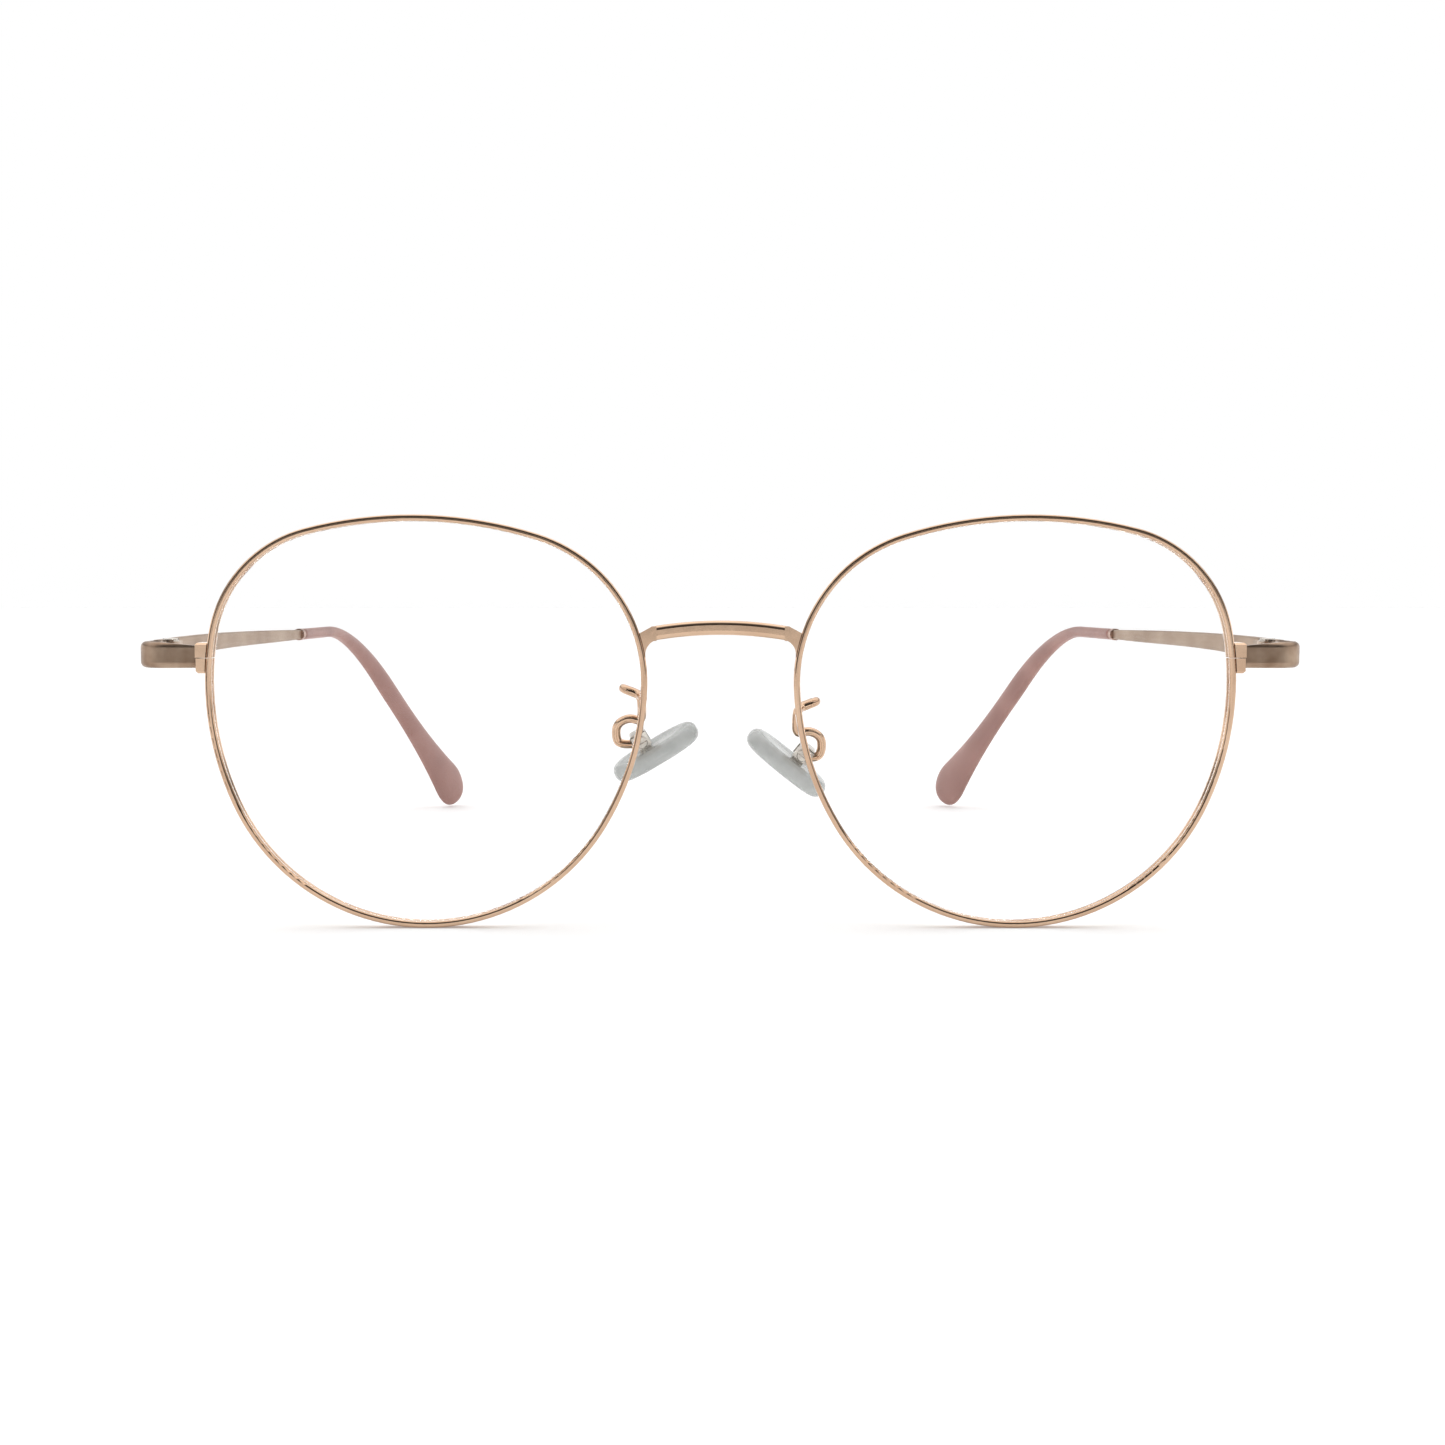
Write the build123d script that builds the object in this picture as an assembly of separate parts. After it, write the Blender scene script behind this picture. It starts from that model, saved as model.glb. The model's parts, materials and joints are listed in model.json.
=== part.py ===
from build123d import *
import math
import os

# Metal eyeglasses with thin eyewires, one arched bridge, adjustable nose pads and folding temples.
# +X is to the wearer's left, +Y to the rear, +Z up. While the pieces are made, Y is 0 at the front of the
# rims and Z is 0 on the table; every piece is then moved so that the origin is under the middle of the box.

# ---------------------------------------------------------------- driving dimensions, millimetres, degrees

# Outer outline of a rim: three corner circles (x, z, radius), joined by three long arcs.
UPPER_NASAL = (27.55, 30.05, 18.7)
UPPER_TEMPORAL = (46.2, 33.2, 15.9)
LOWER = (35.85, 25.65, 25.65)
TOP_ARC = 51.5
TEMPORAL_ARC = 36.0
NASAL_ARC = 35.2

RIM_WIDTH = 0.78           # across the eyewire, in the plane of the lens
RIM_DEPTH = 1.9            # front to rear
RIM_FRONT_ROUND = 0.3
RIM_REAR_ROUND = 0.2
GROOVE_DEPTH = 0.3         # V groove that holds the bevel of the lens
GROOVE_HALF = 0.42
RIM_CUT = 0.1              # the rim is cut here so that it can be opened round the lens
BEYOND = 3.0               # how far a cutting shape runs past what it cuts

LENS_THICKNESS = 1.4
LENS_CURVE = 300.0         # radius of the front surface
LENS_EDGE_GAP = 0.06       # the body of the lens clears the inside of the rim by this
BEVEL_GAP = 0.02

BRIDGE_RISE = 36.6         # height of the middle of the bar
BRIDGE_CURVE = 48.0        # radius of the arch
BRIDGE_HALF_SPAN = 8.3
BRIDGE_HEIGHT = 1.75
BRIDGE_DEPTH = 1.7
BRIDGE_ROUND = 0.55
LUG_DEPTH = 1.8
LUG_LAP = 0.55             # the cast ends, soldered to the rims, take in this much of the bar
LUG_REACH = 2.2            # and run this far out, before they are cut to the rim
LUG_SLOPE = 0.54
WEB_START = 0.2            # the web below the lug: where it leaves the bar, its middle and its foot
WEB_CROOK = (0.52, 0.67)
WEB_FOOT = (0.78, 1.95)

HINGE_Z = 33.3             # middle height of the hinge and the end piece's return
STRIP_THICKNESS = 1.0
STRIP_HEIGHT = 3.2
STRIP_ROUND = 0.7          # rounding of the outer edges of the end piece
PLATE_HEIGHT = 2.6         # height of the end piece where it meets the lock
PLATE_Z = 33.05
END_PIECE_START = 63.5
END_PIECE_FRONT = 0.15
HALF_WIDTH = 70.9          # outer face of the end piece
CORNER_RADIUS = 3.6
RETURN_END = 8.65          # where the end piece stops, just in front of the hinge axis

LOCK_WIDTH = 1.3           # seen beside the rim
LOCK_REAR_WIDTH = 2.7      # behind the end piece
LOCK_DEPTH = 3.2
LOCK_HALF_HEIGHT = 1.85    # beside the rim
LOCK_REAR_HALF_HEIGHT = 1.2
LOCK_Z = 32.95
LOCK_GAP = 0.1
LOCK_FIT = 0.08            # the lower half clears the end piece by this
LOCK_CHAMFER = 0.25
LOCK_SCREW_RADIUS = 0.5
LOCK_SCREW_OUT = 0.2       # outwards from the middle of the part behind the end piece
LOCK_HEAD_RADIUS = 0.72
LOCK_HEAD_HEIGHT = 0.5
LOCK_SINK_GAP = 0.05       # round the screw in the lower half
LOCK_SCREW_END = 0.8       # depth of the thread in the upper half

HINGE_Y = 8.75
KNUCKLE_RADIUS = 1.2
KNUCKLE_GAP = 0.05
KNUCKLE_HEIGHT = 1.0
HINGE_HEIGHT = 2.8
LEAF_LENGTH = 2.85
LEAF_CLEARANCE = 0.27      # between a leaf and the other leaf's knuckles
STRIP_CLEARANCE = 0.1      # between the temple's inner face and the front knuckles
HINGE_SCREW_RADIUS = 0.62
HINGE_RUNNING_GAP = 0.05
HINGE_HEAD_RADIUS = 1.0
HINGE_HEAD_HEIGHT = 0.4
HEAD_CHAMFER = 0.1
SLOT_WIDTH = 0.22
SLOT_DEPTH = 0.2

# Temple, measured along the arm from the hinge axis.
COLLAR_START = 62.6
COLLAR_LENGTH = 1.2
COLLAR_RADIUS = 0.92
ARM_TOP = ((0.0, 1.6), (16.0, 1.85), (35.0, 1.8), (COLLAR_START, 1.35))
ARM_BOTTOM = ((0.0, -1.6), (16.0, -0.6), (35.0, -0.25), (COLLAR_START, -0.1))
ARM_EDGE = 0.22            # rounding of the strip's long edges
CORE_RADIUS = 0.5
CORE_Z = 0.62              # height of the core wire and of the straight part of the tip above the hinge
CORE_END_GAP = 9.0         # the core stops this far before the end of the tip
BEND_START = 80.0
BEND_RADIUS = 30.0
BEND_ANGLE = 48.0
BEND_LEAN = 21.0           # the bend also turns the tip in behind the ear
TIP_STRAIGHT = 33.4
TIP_HEIGHT = 1.75          # of the oval at the collar
TIP_THICKNESS = 1.7
NECK_START = 0.22          # shares of the tip's length between which it swells into the neck
NECK_END = 0.6
NECK_SWELL = 1.9           # added height
PADDLE_START = 0.62
PADDLE_SWELL = 6.0
PADDLE_POWER = 2.2
TIP_THICKENING = 0.45      # added thickness, by the neck and again by the paddle
PADDLE_END = 6.0           # length over which the paddle's outline is rounded off
PADDLE_EDGE = 1.4          # the same for its thickness
TIP_STATIONS = 26
TIP_END_STATIONS = 7
TIP_LAST_ANGLE = 80.0      # round the quarter circle that ends the paddle

# Nose pads. The frame of a pad has x along the pad, towards its lower end, and z away from the nose.
PAD_Y = 9.0
PAD_LENGTH = 12.0
PAD_WIDTH = 7.4
PAD_THICKNESS = 2.3
PAD_EDGE = 1.05
PAD_SPLAY = 8.0
PIVOT_ALONG = 0.86         # from the middle of the pad towards its lower end
PIVOT_RISE = 1.1           # above the back of the pad
INSERT_PLATE = (3.4, 2.2, 0.5)
INSERT_COVER = 0.4         # clear plastic over the buried plate
TAB_RADIUS = 0.8
TAB_WIDTH = 1.3
BOX_LENGTH = 2.1
BOX_WIDTH = 2.9
BOX_SLOT = 1.6
BOX_BELOW = 0.75
BOX_SLOT_ABOVE = 0.92
BOX_ABOVE = 1.25
BOX_ROUND = 0.3
PAD_SCREW_RADIUS = 0.45
PAD_SCREW_GAP = 0.04
PAD_HEAD_RADIUS = 0.75
PAD_HEAD_HEIGHT = 0.35
PAD_WIRE_RADIUS = 0.5
# Route of the pad arm as (x, y, z), from its foot on the rim to the last corner before the box.
PAD_ARM_ROUTE = (
    (9.5, 1.75, 27.3),
    (9.55, 3.6, 27.6),
    (11.6, 4.0, 28.1),
    (11.6, 6.0, 28.1),
    (9.9, 6.5, 27.4),
    (9.9, 7.3, 23.95),
    (12.55, 8.0, 23.95),
    (12.55, 8.7, 20.9),
)
PAD_ARM_RADII = (0.75, 0.85, 0.85, 0.8, 0.8, 1.15, 0.85)

# How each side was bent by hand to fit its wearer.
FITTING = {
    "right": {"arm_rise": 0.75, "pad_x": 7.9, "pad_z": 20.85, "pad_tilt": 31.0, "toe_in": 5.3},
    "left": {"arm_rise": -0.85, "pad_x": 8.5, "pad_z": 19.45, "pad_tilt": 39.0, "toe_in": 6.0},
}

HINGE_X = HALF_WIDTH - STRIP_THICKNESS - KNUCKLE_RADIUS - STRIP_CLEARANCE


# ---------------------------------------------------------------- helpers

def slab(face, front, rear):
    """Extrude a face drawn in x and z from y = front to y = rear."""
    return extrude(Plane.XZ.offset(-rear) * face, rear - front)


def block(x, y, z):
    """A box from three (low, high) pairs."""
    size = [pair[1] - pair[0] for pair in (x, y, z)]
    middle = [(pair[0] + pair[1]) / 2 for pair in (x, y, z)]
    return Pos(*middle) * Box(*size)


def post(radius, x, y, low, high):
    """An upright cylinder."""
    return Pos(x, y, (low + high) / 2) * Cylinder(radius, high - low)


# ---------------------------------------------------------------- rim and lens

def joining_centre(first, second, radius):
    """Centre of the long arc that runs smoothly from one corner circle to the next, clockwise."""
    start = Vector(first[0], first[1])
    end = Vector(second[0], second[1])
    reach_start = radius - first[2]
    reach_end = radius - second[2]
    gap = (end - start).length
    along = (end - start).normalized()
    inwards = Vector(along.Y, -along.X)
    foot = (gap**2 + reach_start**2 - reach_end**2) / (2 * gap)
    return start + along * foot + inwards * math.sqrt(reach_start**2 - foot**2)


def rim_arcs(inset):
    """The six arcs of the outline, moved inwards by inset, as edges in x and z."""
    corners = (UPPER_NASAL, UPPER_TEMPORAL, LOWER)
    radii = (TOP_ARC, TEMPORAL_ARC, NASAL_ARC)
    centres = [Vector(x, z) for x, z, _ in corners]
    long_centres = [joining_centre(corners[i], corners[(i + 1) % 3], radii[i]) for i in range(3)]
    starts = []
    ends = []
    for i in range(3):
        reach = radii[i] - inset
        starts.append(long_centres[i] + (centres[i] - long_centres[i]).normalized() * reach)
        ends.append(long_centres[i] + (centres[(i + 1) % 3] - long_centres[i]).normalized() * reach)
    edges = []
    for i in range(3):
        long_middle = (starts[i] + ends[i]) / 2 - long_centres[i]
        peak = long_centres[i] + long_middle.normalized() * (radii[i] - inset)
        edges.append(ThreePointArc(starts[i], peak, ends[i]))
        corner = (i + 1) % 3
        corner_middle = (ends[i] + starts[corner]) / 2 - centres[corner]
        peak = centres[corner] + corner_middle.normalized() * (corners[corner][2] - inset)
        edges.append(ThreePointArc(ends[i], peak, starts[corner]))
    return edges


def rim_face(inset):
    return make_face(rim_arcs(inset))


def make_rim():
    """Eyewire: a rounded bar with a V groove inside, swept round the outline and cut at the lock."""
    path = Plane.XZ * Wire([arc.edge() for arc in rim_arcs(RIM_WIDTH / 2)])
    start = path @ 0
    along = path % 0
    section_plane = Plane(origin=start, x_dir=(0, 1, 0), z_dir=along)
    bar = Pos(RIM_DEPTH / 2, 0) * Rectangle(RIM_DEPTH, RIM_WIDTH)
    front = bar.vertices().group_by(Axis.X)[0]
    bar = fillet(front, RIM_FRONT_ROUND)
    rear = bar.vertices().group_by(Axis.X)[-1]
    bar = fillet(rear, RIM_REAR_ROUND)
    inside = -1 if section_plane.y_dir.dot(Vector(LOWER[0], 0, LOWER[1]) - start) < 0 else 1
    mouth = inside * RIM_WIDTH / 2
    groove = Polygon(
        (RIM_DEPTH / 2 - GROOVE_HALF, mouth),
        (RIM_DEPTH / 2 + GROOVE_HALF, mouth),
        (RIM_DEPTH / 2, mouth - inside * GROOVE_DEPTH),
        align=None,
    )
    rim = sweep(section_plane * (bar - groove), path=path)
    cut = block((END_PIECE_START - BEYOND, END_PIECE_START + BEYOND), (-BEYOND, RIM_DEPTH + BEYOND),
                (LOCK_Z - RIM_CUT / 2, LOCK_Z + RIM_CUT / 2))
    return rim - cut


def make_lens():
    """Clear lens: a thin meniscus cut to the rim, with a bevel that sits in the groove."""
    middle = RIM_DEPTH / 2
    body = slab(rim_face(RIM_WIDTH + LENS_EDGE_GAP), middle - BEYOND, middle + BEYOND)
    centre_x = LOWER[0]
    centre_z = LOWER[1]
    edge_radius = LOWER[2]
    sag = LENS_CURVE - math.sqrt(LENS_CURVE**2 - edge_radius**2)
    apex = middle - LENS_THICKNESS / 2 - sag
    outer = Pos(centre_x, apex + LENS_CURVE, centre_z) * Sphere(LENS_CURVE)
    inner = Pos(centre_x, apex + LENS_CURVE, centre_z) * Sphere(LENS_CURVE - LENS_THICKNESS)
    body = (body & outer) - inner
    slope = math.degrees(math.atan2(GROOVE_DEPTH, GROOVE_HALF))
    tip = rim_face(RIM_WIDTH - GROOVE_DEPTH + BEVEL_GAP)
    half = GROOVE_HALF * (GROOVE_DEPTH + LENS_EDGE_GAP) / GROOVE_DEPTH
    plane = Plane.XZ.offset(-middle)
    bevel = extrude(plane * tip, half, taper=slope)
    bevel += extrude(plane * tip, -half, taper=slope)
    return body + bevel


# ---------------------------------------------------------------- bridge

def bridge_lug():
    """Cast end of the bridge on the +X side: it drops to the rim, with a web below it."""
    joint = BRIDGE_HALF_SPAN
    arch = BRIDGE_RISE - BRIDGE_CURVE + math.sqrt(BRIDGE_CURVE**2 - joint**2)
    top = arch + BRIDGE_HEIGHT / 2
    bottom = arch - BRIDGE_HEIGHT / 2
    inner = joint - LUG_LAP
    outer = joint + LUG_REACH
    brow = (outer, top - LUG_SLOPE * LUG_REACH)
    shoulder = (joint - WEB_START, bottom)
    crook = (joint + WEB_CROOK[0], bottom - WEB_CROOK[1])
    foot = (joint + WEB_FOOT[0], bottom - WEB_FOOT[1])
    edges = [
        Line((inner, bottom), (inner, top)),
        Line((inner, top), (joint, top)),
        Line((joint, top), brow),
        Line(brow, (outer, foot[1])),
        Line((outer, foot[1]), foot),
        ThreePointArc(foot, crook, shoulder),
        Line(shoulder, (inner, bottom)),
    ]
    margin = (RIM_DEPTH - LUG_DEPTH) / 2
    return slab(make_face(edges), margin, RIM_DEPTH - margin)


def make_bridge(rim_space):
    """Arched bar with a rounded section between two lugs, cut to meet the rims face to face."""
    half_angle = math.degrees(math.asin(BRIDGE_HALF_SPAN / BRIDGE_CURVE))
    arc = CenterArc((0, BRIDGE_RISE - BRIDGE_CURVE), BRIDGE_CURVE, 90 - half_angle, 2 * half_angle)
    path = Plane.XZ.offset(-RIM_DEPTH / 2) * arc
    section = RectangleRounded(BRIDGE_DEPTH, BRIDGE_HEIGHT, BRIDGE_ROUND)
    bar = sweep(Plane(origin=path @ 0, x_dir=(0, 1, 0), z_dir=path % 0) * section, path=path)
    lug = bridge_lug()
    bridge = bar + lug + mirror(lug, Plane.YZ)
    return bridge - rim_space - mirror(rim_space, Plane.YZ)


# ---------------------------------------------------------------- end piece, lock and hinge

def make_end_piece():
    """Flat strip from the lock, round the corner and back to the hinge."""
    middle = STRIP_THICKNESS / 2
    bend = CORNER_RADIUS - middle
    corner_x = HALF_WIDTH - CORNER_RADIUS
    front = END_PIECE_FRONT + middle
    side = HALF_WIDTH - middle
    path = Wire([
        Edge.make_line((END_PIECE_START, front, HINGE_Z), (corner_x, front, HINGE_Z)),
        Edge.make_three_point_arc(
            (corner_x, front, HINGE_Z),
            (corner_x + bend * math.sin(math.pi / 4), front + bend * (1 - math.cos(math.pi / 4)), HINGE_Z),
            (side, front + bend, HINGE_Z),
        ),
        Edge.make_line((side, front + bend, HINGE_Z), (side, RETURN_END, HINGE_Z)),
    ])
    section = Rectangle(STRIP_THICKNESS, STRIP_HEIGHT)
    outside = section.vertices().group_by(Axis.X)[-1]
    section = fillet(outside, STRIP_ROUND)
    start = Plane(origin=path @ 0, x_dir=(0, -1, 0), z_dir=(1, 0, 0))
    strip = sweep(start * section, path=path)
    full = STRIP_HEIGHT / 2
    shallow = PLATE_HEIGHT / 2
    near = END_PIECE_START - 1
    highest = HINGE_Z + BEYOND
    lowest = HINGE_Z - BEYOND
    above = Polygon((near, highest), (near, PLATE_Z + shallow), (corner_x + 1, HINGE_Z + full),
                    (corner_x + 1, highest), align=None)
    below = Polygon((near, lowest), (corner_x, lowest), (corner_x, HINGE_Z - full),
                    (near, PLATE_Z - shallow), align=None)
    return strip - slab(above, -BEYOND, CORNER_RADIUS) - slab(below, -BEYOND, CORNER_RADIUS)


def lock_half(rim_space, upper):
    """Half of the closing block that is soldered to one end of the cut rim."""
    plate_rear = END_PIECE_FRONT + STRIP_THICKNESS
    clearance = 0 if upper else LOCK_FIT
    inner = UPPER_TEMPORAL[0] + UPPER_TEMPORAL[2]
    facing = LOCK_Z + LOCK_GAP / 2 if upper else LOCK_Z - LOCK_GAP / 2
    away = 1 if upper else -1
    heights = sorted((facing, LOCK_Z + away * LOCK_HALF_HEIGHT))
    rear_heights = sorted((facing, LOCK_Z + away * LOCK_REAR_HALF_HEIGHT))
    half = block((inner - 1, END_PIECE_START - clearance), (0, LOCK_DEPTH), heights)
    half += block((inner - 1, inner + LOCK_REAR_WIDTH), (plate_rear + clearance, LOCK_DEPTH), rear_heights)
    far_face = half.faces().sort_by(Axis.Z)[-1 if upper else 0]
    half = chamfer(far_face.edges(), LOCK_CHAMFER) - rim_space
    return half - lock_screw_space(0 if upper else LOCK_SINK_GAP)


def lock_screw_space(margin):
    """The lock screw's shaft and sunk head, put in from below, with a margin all round."""
    plate_rear = END_PIECE_FRONT + STRIP_THICKNESS
    inner = UPPER_TEMPORAL[0] + UPPER_TEMPORAL[2]
    x = inner + LOCK_REAR_WIDTH / 2 + LOCK_SCREW_OUT
    y = (plate_rear + LOCK_DEPTH) / 2
    bottom = LOCK_Z - LOCK_REAR_HALF_HEIGHT
    head = post(LOCK_HEAD_RADIUS + margin, x, y, bottom, bottom + LOCK_HEAD_HEIGHT)
    return head + post(LOCK_SCREW_RADIUS + margin, x, y, bottom, LOCK_Z + LOCK_SCREW_END)


def make_lock_screw():
    """Screw that closes the rim."""
    screw = lock_screw_space(0)
    bottom = screw.faces().sort_by(Axis.Z)[0]
    slot = Pos(*bottom.center()) * Box(2 * LOCK_HEAD_RADIUS, SLOT_WIDTH, 2 * SLOT_DEPTH)
    return screw - slot


def make_front_hinge():
    """Leaf inside the end piece, with an upper and a lower knuckle."""
    inner = HALF_WIDTH - STRIP_THICKNESS
    half = HINGE_HEIGHT / 2
    leaf_rear = HINGE_Y - KNUCKLE_RADIUS - LEAF_CLEARANCE
    hinge = block((HINGE_X, inner), (leaf_rear - LEAF_LENGTH, leaf_rear), (HINGE_Z - half, HINGE_Z + half))
    knuckle_base = KNUCKLE_HEIGHT / 2 + KNUCKLE_GAP
    for low, high in ((-half, -knuckle_base), (knuckle_base, half)):
        hinge += post(KNUCKLE_RADIUS, HINGE_X, HINGE_Y, HINGE_Z + low, HINGE_Z + high)
        hinge += block((HINGE_X, inner), (leaf_rear, RETURN_END), (HINGE_Z + low, HINGE_Z + high))
    return hinge - post(HINGE_SCREW_RADIUS, HINGE_X, HINGE_Y, HINGE_Z - BEYOND, HINGE_Z + BEYOND)


def make_hinge_screw():
    """Hinge pin: a slotted screw put in from above."""
    top = HINGE_Z + HINGE_HEIGHT / 2
    head = post(HINGE_HEAD_RADIUS, HINGE_X, HINGE_Y, top, top + HINGE_HEAD_HEIGHT)
    head = chamfer(head.edges().sort_by(Axis.Z)[-1], HEAD_CHAMFER)
    slot = block((HINGE_X - BEYOND, HINGE_X + BEYOND), (HINGE_Y - SLOT_WIDTH / 2, HINGE_Y + SLOT_WIDTH / 2),
                 (top + HINGE_HEAD_HEIGHT - SLOT_DEPTH, top + HINGE_HEAD_HEIGHT))
    shaft = post(HINGE_SCREW_RADIUS, HINGE_X, HINGE_Y, HINGE_Z - HINGE_HEIGHT / 2, top)
    return head + shaft - slot


# ---------------------------------------------------------------- temple
# A temple is made straight back from the hinge: x outwards, y along the arm, z up from the hinge's middle.

STRIP_INNER = KNUCKLE_RADIUS + STRIP_CLEARANCE
STRIP_MIDDLE = STRIP_INNER + STRIP_THICKNESS / 2
TIP_START = COLLAR_START + COLLAR_LENGTH
BEND_LENGTH = BEND_RADIUS * math.radians(BEND_ANGLE)
TIP_LENGTH = BEND_START - TIP_START + BEND_LENGTH + TIP_STRAIGHT


def temple_point(distance):
    """Point and direction of the temple's centre line, this far from the hinge along it."""
    lean = math.radians(BEND_LEAN)
    along = Vector(0, 1, 0)
    across = Vector(-math.sin(lean), 0, -math.cos(lean))
    start = Vector(STRIP_MIDDLE, BEND_START, CORE_Z)
    if distance <= BEND_START:
        return Vector(STRIP_MIDDLE, distance, CORE_Z), along
    turn = min(distance - BEND_START, BEND_LENGTH) / BEND_RADIUS
    point = start + along * BEND_RADIUS * math.sin(turn) + across * BEND_RADIUS * (1 - math.cos(turn))
    direction = along * math.cos(turn) + across * math.sin(turn)
    beyond = max(distance - BEND_START - BEND_LENGTH, 0)
    return point + direction * beyond, direction


def make_temple_hinge():
    """Leaf inside the temple arm, with the middle knuckle."""
    half = HINGE_HEIGHT / 2
    leaf_front = KNUCKLE_RADIUS + LEAF_CLEARANCE
    hinge = block((0, STRIP_INNER), (leaf_front, leaf_front + LEAF_LENGTH), (-half, half))
    knuckle = KNUCKLE_HEIGHT / 2
    hinge += post(KNUCKLE_RADIUS, 0, 0, -knuckle, knuckle)
    hinge += block((0, STRIP_INNER), (0, leaf_front), (-knuckle, knuckle))
    return hinge - post(HINGE_SCREW_RADIUS + HINGE_RUNNING_GAP, 0, 0, -BEYOND, BEYOND)


def centre_line(start, end):
    """The temple's centre line between two distances, the first before the bend and the last after it."""
    half_way = BEND_START + BEND_LENGTH / 2
    distances = (start, BEND_START, half_way, BEND_START + BEND_LENGTH, end)
    stops = [temple_point(distance)[0] for distance in distances]
    return Wire([
        Edge.make_line(stops[0], stops[1]),
        Edge.make_three_point_arc(stops[1], stops[2], stops[3]),
        Edge.make_line(stops[3], stops[4]),
    ])


def core_wire(radius, start, end):
    """Round wire along the temple's centre line."""
    path = centre_line(start, end)
    section = Plane(origin=path @ 0, z_dir=path % 0) * Circle(radius)
    return sweep(section, path=path)


def make_temple_arm():
    """Tapered flat strip that runs on as a round core wire inside the plastic tip."""
    top = Spline(*ARM_TOP)
    bottom = Spline(*ARM_BOTTOM)
    outline = make_face([top, Line(top @ 1, bottom @ 1), bottom, Line(bottom @ 0, top @ 0)])
    arm = extrude(Plane.YZ.offset(STRIP_INNER) * outline, STRIP_THICKNESS)
    long_edges = arm.edges().filter_by(lambda edge: edge.length > COLLAR_START / 2)
    arm = fillet(long_edges, ARM_EDGE)
    return arm + core_wire(CORE_RADIUS, COLLAR_START - 1, TIP_START + TIP_LENGTH - CORE_END_GAP)


def make_tip_collar():
    """Ring over the core wire, between the arm and the plastic."""
    axis = Plane(origin=(STRIP_MIDDLE, COLLAR_START + COLLAR_LENGTH / 2, CORE_Z), z_dir=(0, 1, 0))
    ring = Cylinder(COLLAR_RADIUS, COLLAR_LENGTH) - Cylinder(CORE_RADIUS, COLLAR_LENGTH)
    return axis * ring


def rounded_off(from_end, length):
    """1 along the tip, falling to 0 at its end as a quarter circle does over this length."""
    return math.sqrt(1 - max(1 - from_end / length, 0) ** 2)


def tip_section(distance):
    """Upright oval across the tip, this far along it."""
    share = distance / TIP_LENGTH
    rise = min(max((share - NECK_START) / (NECK_END - NECK_START), 0), 1)
    neck = rise**2 * (3 - 2 * rise)
    paddle = (max(share - PADDLE_START, 0) / (1 - PADDLE_START)) ** PADDLE_POWER
    height = TIP_HEIGHT + NECK_SWELL * neck + PADDLE_SWELL * paddle
    thickness = TIP_THICKNESS + TIP_THICKENING * (neck + paddle)
    from_end = TIP_LENGTH - distance
    height *= rounded_off(from_end, PADDLE_END)
    thickness *= rounded_off(from_end, PADDLE_EDGE)
    point, direction = temple_point(TIP_START + distance)
    sideways = direction.cross(Vector(0, 0, 1)).normalized()
    return Plane(origin=point, x_dir=sideways, z_dir=direction) * Ellipse(thickness / 2, height / 2)


def make_temple_tip():
    """Plastic sleeve that swells into a flat paddle behind the ear, bored for the core wire."""
    blade = TIP_LENGTH - PADDLE_END
    distances = [blade * i / TIP_STATIONS for i in range(TIP_STATIONS)]
    for i in range(TIP_END_STATIONS + 1):
        distances.append(blade + PADDLE_END * math.sin(math.radians(TIP_LAST_ANGLE * i / TIP_END_STATIONS)))
    sleeve = loft([tip_section(distance) for distance in distances], ruled=True)
    return sleeve - core_wire(CORE_RADIUS, TIP_START - 1, TIP_START + TIP_LENGTH - CORE_END_GAP)


# ---------------------------------------------------------------- nose pad

def pad_frame(fit):
    """Plane of a nose pad: x towards its lower end, y to the rear, z away from the nose."""
    tilt = math.radians(fit["pad_tilt"])
    splay = math.radians(PAD_SPLAY)
    along = Vector(math.cos(tilt), 0, -math.sin(tilt))
    away = Vector(math.sin(tilt) * math.cos(splay), -math.sin(splay), math.cos(tilt) * math.cos(splay))
    return Plane(origin=(fit["pad_x"], PAD_Y, fit["pad_z"]), x_dir=along, z_dir=away)


PIVOT_HEIGHT = PAD_THICKNESS / 2 + PIVOT_RISE


def make_pad_insert():
    """Metal insert of the pad: a plate buried in the plastic and a tab with an eye for the screw."""
    plate_top = PAD_THICKNESS / 2 - INSERT_COVER
    length, width, thickness = INSERT_PLATE
    insert = Pos(PIVOT_ALONG, 0, plate_top - thickness / 2) * Box(length, width, thickness)
    tab = Pos(PIVOT_ALONG, 0, (plate_top + PIVOT_HEIGHT) / 2) * Box(2 * TAB_RADIUS, TAB_WIDTH,
                                                                    PIVOT_HEIGHT - plate_top)
    eye = Pos(PIVOT_ALONG, 0, PIVOT_HEIGHT) * Rot(90, 0, 0) * Cylinder(TAB_RADIUS, TAB_WIDTH)
    drill = Rot(90, 0, 0) * Cylinder(PAD_SCREW_RADIUS + PAD_SCREW_GAP, BEYOND)
    bore = Pos(PIVOT_ALONG, 0, PIVOT_HEIGHT) * drill
    return insert + tab + eye - bore


def make_nose_pad(insert):
    """Oval clear pad with rounded edges, moulded round the plate of its insert."""
    pad = extrude(Ellipse(PAD_LENGTH / 2, PAD_WIDTH / 2), PAD_THICKNESS / 2, both=True)
    pad = fillet(pad.edges(), PAD_EDGE)
    return pad - insert


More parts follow.
